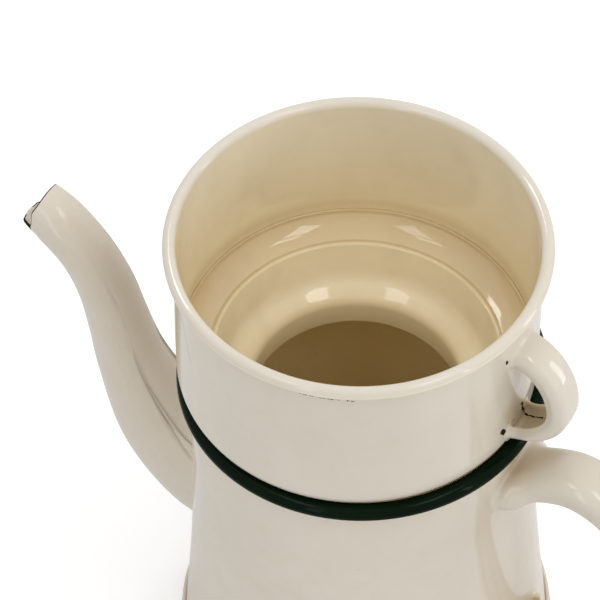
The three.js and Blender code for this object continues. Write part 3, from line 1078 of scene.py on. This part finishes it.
def body_enamel(scene, body):
    """The cream enamel of the pot or of the filter, with its marks and smudges, made once."""
    name = f"{body}_enamel"
    made = bpy.data.materials.get(name)
    if made:
        return made
    colours = scene.kettle_colours
    sizes = scene.kettle_filter
    seat = filter_place(scene.kettle_pot, sizes)
    radius_at = filter_wall(sizes)

    def by_root(outward, across, up):
        reach = scene.kettle_pot.neck_radius + outward
        return Vector((reach, across, scene.kettle_handle.top_height + up))

    def off_wall(azimuth, drop, outset):
        height = filter_rim_height(sizes) - drop
        turn = Matrix.Rotation(math.radians(azimuth), 4, "Z")
        return seat @ turn @ Vector((radius_at(height) + outset, 0, height))

    if body == "pot":
        return enamel(name, colours, colours.deep, [], streaks(POT_SHADE_PATCHES, by_root))
    marks = streaks(FILTER_MARKS, off_wall)
    return enamel(name, colours, colours.tan, marks, streaks(FILTER_SHADE_PATCHES, off_wall))


# Operators


class KETTLE_OT_pot_body(bpy.types.Operator):
    """Make the pot's waisted body with its strainer holes"""

    bl_idname = "kettle.pot_body"
    bl_label = "Pot body"

    def execute(self, context):
        pot = context.scene.kettle_pot
        spout = context.scene.kettle_spout
        radius_at = body_wall(pot)
        bottom = pot.base_bend + pot.gap
        top = pot.height - pot.bead_radius + pot.gap
        rise = (pot.flare_height - bottom) / FLARE_STEPS
        heights = [bottom + rise * i for i in range(FLARE_STEPS + 1)] + [top]
        path = [Vector((radius_at(height), height)) for height in heights]
        wall = turned(sheet_outline(path, pot.sheet, 1.0, 0.0))
        places = [(0.0, 0.0)]
        for i in range(STRAINER_RING_HOLES):
            angle = math.tau * i / STRAINER_RING_HOLES
            places.append((pot.hole_pitch * math.cos(angle), pot.hole_pitch * math.sin(angle)))
        drills = bmesh.new()
        for across, up in places:
            middle = Vector((-radius_at(spout.root_height), across, spout.root_height + up))
            turn = Matrix.Translation(middle) @ Matrix.Rotation(math.pi / 2, 4, "Y")
            bmesh.ops.create_cone(
                drills, cap_ends=True, segments=DRILL_SIDES, radius1=pot.hole_radius,
                radius2=pot.hole_radius, depth=2 * OVERRUN, matrix=turn,
            )
        cutter_mesh = bpy.data.meshes.new("drills")
        drills.to_mesh(cutter_mesh)
        drills.free()
        cutter = bpy.data.objects.new("drills", cutter_mesh)
        context.scene.collection.objects.link(cutter)
        piece = add_piece(context, "kettle_body", wall, "pot", ["pot_body"])
        drilled = piece.modifiers.new("strainer", "BOOLEAN")
        drilled.operation = "DIFFERENCE"
        drilled.solver = "EXACT"
        drilled.object = cutter
        graph = context.evaluated_depsgraph_get()
        shaped = bpy.data.meshes.new_from_object(piece.evaluated_get(graph))
        piece.modifiers.remove(drilled)
        piece.data = shaped
        bpy.data.objects.remove(cutter)
        return {"FINISHED"}


class KETTLE_OT_pot_base(bpy.types.Operator):
    """Make the pressed pan round the pot's foot"""

    bl_idname = "kettle.pot_base"
    bl_label = "Pot base"

    def execute(self, context):
        pot = context.scene.kettle_pot
        radius_at = body_wall(pot)
        within = pot.groove_radius - pot.groove_width / 2
        beyond = pot.groove_radius + pot.groove_width / 2
        seat = pot.sheet + pot.gap
        path = bent_path([
            (0, 0),
            (within, 0, pot.groove_bend),
            (within + pot.groove_depth, pot.groove_depth, pot.groove_bend),
            (beyond - pot.groove_depth, pot.groove_depth, pot.groove_bend),
            (beyond, 0, pot.groove_bend),
            (radius_at(0) + seat, 0, pot.base_bend),
            (radius_at(pot.skirt) + seat, pot.skirt - seat / 2),
        ])
        made = turned([
            spot._replace(inside=float(spot.inside == 1))
            for spot in sheet_outline(path, seat, 1.0, 0.0, from_axis=True)
        ], from_axis=True)
        add_piece(context, "kettle_base", made, "pot", ["pot_base"])
        return {"FINISHED"}


class KETTLE_OT_pot_rim(bpy.types.Operator):
    """Make the green hoop that is curled over the pot's top edge"""

    bl_idname = "kettle.pot_rim"
    bl_label = "Pot rim"

    def execute(self, context):
        pot = context.scene.kettle_pot
        centre = Vector((pot.neck_radius + pot.rim_outset, pot.height - pot.bead_radius))
        outer_edge = math.acos((pot.neck_radius - centre.x) / pot.bead_radius)
        inner_edge = math.acos((pot.neck_radius - pot.sheet - centre.x) / pot.bead_radius)
        path = arc_points(centre, pot.bead_radius, -outer_edge, math.tau - inner_edge)
        spots = []
        for spot in sheet_outline(path, pot.rim_sheet, 0.0, 0.0):
            reach, rise = spot.place - centre
            under = reach > 0 and rise < -reach * math.tan(GREEN_ENDS)
            spots.append(spot._replace(edge=float(under)))
        finish = green_enamel(context.scene.kettle_colours)
        made = turned(spots)
        add_piece(context, "kettle_rim", made, "pot", ["pot_rim"], finish)
        return {"FINISHED"}


class KETTLE_OT_spout(bpy.types.Operator):
    """Make the gooseneck spout with its pouring lip"""

    bl_idname = "kettle.spout"
    bl_label = "Spout"

    def execute(self, context):
        rings = spout_rings(context.scene.kettle_pot, context.scene.kettle_spout)
        made = lofted(rings, looped=True)
        nodes = ["spout_left", "spout_right"]
        add_piece(context, "kettle_spout", made, "pot", nodes)
        return {"FINISHED"}


class KETTLE_OT_pot_handle(bpy.types.Operator):
    """Make the pot's strap handle"""

    bl_idname = "kettle.pot_handle"
    bl_label = "Pot handle"

    def execute(self, context):
        pot = context.scene.kettle_pot
        handle = context.scene.kettle_handle
        radius_at = body_wall(pot)
        line = StrapLine([
            (pot.neck_radius, handle.top_height, handle.top_heading),
            (handle.apex_reach, handle.apex_height, 0),
            (handle.crown_reach, handle.crown_height, -math.pi / 2),
            (radius_at(handle.foot_height), handle.foot_height, -math.pi),
        ], HANDLE_PULLS)
        rings = strap_rings(line, handle, pot.sheet, radius_at, HANDLE_STATIONS)
        made = lofted(rings, looped=False)
        add_piece(context, "kettle_handle", made, "pot", ["pot_handle"])
        return {"FINISHED"}


class KETTLE_OT_filter_body(bpy.types.Operator):
    """Make the filter's wall with its curled rim and its ledge"""

    bl_idname = "kettle.filter_body"
    bl_label = "Filter body"

    def execute(self, context):
        pot = context.scene.kettle_pot
        sizes = context.scene.kettle_filter
        rim_height = filter_rim_height(sizes)
        within = sizes.rim_radius - pot.sheet
        radius_at = filter_wall(sizes)
        path = bent_path([
            (sizes.ledge_radius, sizes.ledge_lip - sizes.corner),
            (sizes.ledge_radius, -sizes.corner, sizes.ledge_bend),
            (sizes.foot_radius, -sizes.corner, sizes.corner),
            *((radius_at(height), height) for height, stained in WALL_SHADE_BAND),
            (sizes.top_radius, rim_height),
        ])
        centre = Vector((sizes.top_radius + within, rim_height))
        path += arc_points(centre, within, math.pi, -math.pi / 2)[1:]
        spots = []
        for spot in sheet_outline(path, pot.sheet, 1.0, 0.0):
            fade = min(1.0, max(0.0, (rim_height + pot.sheet - spot.place.y) / (2 * pot.sheet)))
            # Painted shade on the inner face, in the band over the funnel's edge
            stained = eased_between(WALL_SHADE_BAND, spot.place.y) if spot.inside == 1 else 0.0
            spots.append(spot._replace(inside=spot.inside * fade, stained=stained))
        made = turned(spots)
        add_piece(context, "drip_filter", made, "filter", ["filter_body"])
        return {"FINISHED"}


class KETTLE_OT_filter_funnel(bpy.types.Operator):
    """Make the dished funnel with its open throat"""

    bl_idname = "kettle.filter_funnel"
    bl_label = "Filter funnel"

    def execute(self, context):
        sizes = context.scene.kettle_filter
        path = bent_path([*FUNNEL_CORNERS, (sizes.throat_radius, -sizes.throat_depth)])
        made = turned([
            spot._replace(stained=eased_between(FUNNEL_SHADE, spot.place.x))
            for spot in sheet_outline(path, sizes.funnel_sheet, 1.0, 1.0)
        ])
        add_piece(context, "drip_funnel", made, "filter", ["filter_funnel"])
        return {"FINISHED"}


class KETTLE_OT_filter_handle(bpy.types.Operator):
    """Make the filter's small strap handle"""

    bl_idname = "kettle.filter_handle"
    bl_label = "Filter handle"

    def execute(self, context):
        pot = context.scene.kettle_pot
        sizes = context.scene.kettle_filter
        grip = context.scene.kettle_grip
        rim_height = filter_rim_height(sizes)
        line = StrapLine([
            (sizes.top_radius, rim_height - grip.top_drop, 0),
            (grip.crown_reach, rim_height - grip.crown_drop, -math.pi / 2),
            (sizes.foot_radius, rim_height - grip.foot_drop, -math.pi),
        ], GRIP_PULLS)
        rings = strap_rings(line, grip, pot.sheet, filter_wall(sizes), GRIP_STATIONS)
        made = lofted(rings, looped=False)
        add_piece(context, "drip_filter_handle", made, "filter", ["filter_handle"])
        return {"FINISHED"}


# Lamps. Directions are in the picture's own axes: right, away and up. A lamp's near and far ends
# are measured from the point that its direction gives, along its upward line
LAMP_AIM_HEIGHT = 0.15
AWAY = (0, 1, 0)
UP = (0, 0, 1)
RIGHT_WINDOW = (0.377, -0.286, 0.875)
LEFT_WINDOW = (-0.35, -0.286, 0.875)
LAMPS = (
    Lamp(RIGHT_WINDOW, AWAY, 0.17, -0.21, 0.06, 0.9),
    Lamp(RIGHT_WINDOW, AWAY, 0.17, 0.10, 0.19, 0.9),
    Lamp(LEFT_WINDOW, AWAY, 0.17, -0.21, 0.06, 0.65),
    Lamp(LEFT_WINDOW, AWAY, 0.17, 0.10, 0.19, 0.65),
    Lamp((-0.386, -0.828, 0.407), UP, 0.12, -0.45, 0.30, 0.35),
    Lamp((0.740, -0.558, 0.375), UP, 0.05, -0.34, 0.17, 0.9),
    Lamp((0.985, 0.030, 0.100), UP, 0.13, -0.23, 0.30, 0.8),
    Lamp((-0.269, 0.506, 0.819), UP, 0.36, -0.05, 0.05, 1.8),
)


def add_lamps(context, stage):
    """Soft lamps round the kettle, for the highlights on its gloss."""
    picture = Matrix.Rotation(stage.camera_azimuth + math.pi / 2, 3, "Z")
    aim = Vector((0, 0, LAMP_AIM_HEIGHT))
    for number, lamp in enumerate(LAMPS):
        back = (picture @ Vector(lamp.direction)).normalized()
        aside = (picture @ Vector(lamp.upward)).cross(back).normalized()
        along = back.cross(aside)
        turn = Matrix((aside, along, back)).transposed().to_4x4()
        reach = lamp.far - lamp.near
        light = bpy.data.lights.new(f"lamp_{number}", "AREA")
        light.shape = "RECTANGLE"
        light.size = lamp.width
        light.size_y = reach
        light.energy = stage.glow * lamp.strength * math.pi * lamp.width * reach
        holder = bpy.data.objects.new(f"lamp_{number}", light)
        middle = aim + back * stage.lamp_distance + along * (lamp.near + lamp.far) / 2
        holder.matrix_world = Matrix.Translation(middle) @ turn
        holder.visible_camera = False
        context.scene.collection.objects.link(holder)


# Width of the camera's sensor, in millimetres
SENSOR_WIDTH = 36


def add_camera(context, stage):
    """The camera at the photograph's viewing angle."""
    camera = bpy.data.cameras.new("camera")
    camera.sensor_width = SENSOR_WIDTH
    camera.lens = stage.lens
    holder = bpy.data.objects.new("camera", camera)
    swing = Matrix.Rotation(stage.camera_azimuth + math.pi / 2, 4, "Z")
    tilt = Matrix.Rotation(math.pi / 2 - stage.camera_elevation, 4, "X")
    fine = (
        Matrix.Rotation(stage.camera_yaw, 4, "Y")
        @ Matrix.Rotation(stage.camera_pitch, 4, "X")
        @ Matrix.Rotation(stage.camera_roll, 4, "Z")
    )
    aim = Matrix.Translation((0, 0, stage.aim_height))
    back = Matrix.Translation((0, 0, stage.camera_distance))
    holder.matrix_world = aim @ swing @ tilt @ back @ fine
    context.scene.collection.objects.link(holder)
    context.scene.camera = holder


# Brightness of the surroundings that lights the object, and how it rises to the right, away from
# the camera and upward
AMBIENT = 0.60
AMBIENT_RISE = (0.18, 0.0, 0.24)

# The floor: half its width, features in a metre of its mottles, their tint, and its own light
FLOOR_HALF = 2.0
FLOOR_MOTTLES = 3
FLOOR_TINT = (0.98, 0.98, 0.98, 1)
FLOOR_GLOW = (0.3, 0.3, 0.3, 1)


def add_world(scene):
    """Soft light from all sides, a little more from the right and above. The camera and the gloss
    see plain white."""
    world = bpy.data.worlds.new("studio")
    scene.world = world
    sky = Network(world)
    white = sky.ray("Is Camera Ray") | sky.ray("Is Glossy Ray") | sky.ray("Is Transmission Ray")
    picture = Matrix.Rotation(scene.kettle_stage.camera_azimuth + math.pi / 2, 3, "Z")
    way = sky.node("ShaderNodeTexCoord", {}, {}, "Generated")
    level = sky.vector("DOT_PRODUCT", way, tuple(picture @ Vector(AMBIENT_RISE)), "Value") + AMBIENT
    light = sky.node("ShaderNodeBackground", {}, {"Color": sky.mix(white, level, (1, 1, 1, 1))})
    sky.node("ShaderNodeOutputWorld", {}, {"Surface": light})


def floor_finish(colours):
    """A pale floor that keeps the object's shadow and looks a little lighter to the camera."""
    finish = Network(bpy.data.materials.new("floor"))
    mottle = finish.noise(finish.place(), FLOOR_MOTTLES, detail=2.0)
    base = finish.tinted(mottle, tuple(colours.floor), FLOOR_TINT)
    glow = finish.mix(finish.ray("Is Camera Ray"), (0, 0, 0, 1), FLOOR_GLOW)
    return finish.output(finish.surface({
        "Base Color": base, "Roughness": 0.9, "Specular IOR Level": 0.0,
        "Emission Color": glow, "Emission Strength": 1.0,
    }))


class KETTLE_OT_stage(bpy.types.Operator):
    """Make the floor, the lamps and the camera"""

    bl_idname = "kettle.stage"
    bl_label = "Stage"

    def execute(self, context):
        scene = context.scene
        grid = bmesh.new()
        bmesh.ops.create_grid(
            grid, x_segments=FLOOR_PARTS, y_segments=FLOOR_PARTS, size=FLOOR_HALF
        )
        mesh = bpy.data.meshes.new("floor")
        grid.to_mesh(mesh)
        grid.free()
        mesh.materials.append(floor_finish(scene.kettle_colours))
        floor = bpy.data.objects.new("floor", mesh)
        scene.collection.objects.link(floor)
        add_lamps(context, scene.kettle_stage)
        add_world(scene)
        add_camera(context, scene.kettle_stage)
        scene.view_settings.view_transform = "Standard"
        return {"FINISHED"}


class KETTLE_PT_panel(bpy.types.Panel):
    """Panel with one button for each piece"""

    bl_idname = "KETTLE_PT_panel"
    bl_label = "Enamelled kettle"
    bl_space_type = "VIEW_3D"
    bl_region_type = "UI"
    bl_category = "Kettle"

    def draw(self, context):
        for operator in OPERATORS:
            self.layout.operator(operator.bl_idname)


GROUPS = {
    "kettle_pot": PotSizes,
    "kettle_spout": SpoutSizes,
    "kettle_handle": HandleSizes,
    "kettle_filter": FilterSizes,
    "kettle_grip": GripSizes,
    "kettle_colours": KettleColours,
    "kettle_stage": StageSizes,
}
OPERATORS = (
    KETTLE_OT_pot_body,
    KETTLE_OT_pot_base,
    KETTLE_OT_pot_rim,
    KETTLE_OT_spout,
    KETTLE_OT_pot_handle,
    KETTLE_OT_filter_body,
    KETTLE_OT_filter_funnel,
    KETTLE_OT_filter_handle,
    KETTLE_OT_stage,
)


def register():
    for group in GROUPS.values():
        bpy.utils.register_class(group)
    for name, group in GROUPS.items():
        setattr(bpy.types.Scene, name, bpy.props.PointerProperty(type=group))
    for operator in OPERATORS:
        bpy.utils.register_class(operator)
    bpy.utils.register_class(KETTLE_PT_panel)


def unregister():
    bpy.utils.unregister_class(KETTLE_PT_panel)
    for operator in reversed(OPERATORS):
        bpy.utils.unregister_class(operator)
    for name, group in reversed(GROUPS.items()):
        delattr(bpy.types.Scene, name)
        bpy.utils.unregister_class(group)


def main():
    register()
    bpy.ops.kettle.pot_body()
    bpy.ops.kettle.pot_base()
    bpy.ops.kettle.pot_rim()
    bpy.ops.kettle.spout()
    bpy.ops.kettle.pot_handle()
    bpy.ops.kettle.filter_body()
    bpy.ops.kettle.filter_funnel()
    bpy.ops.kettle.filter_handle()
    bpy.ops.kettle.stage()


if __name__ == "__main__":
    main()
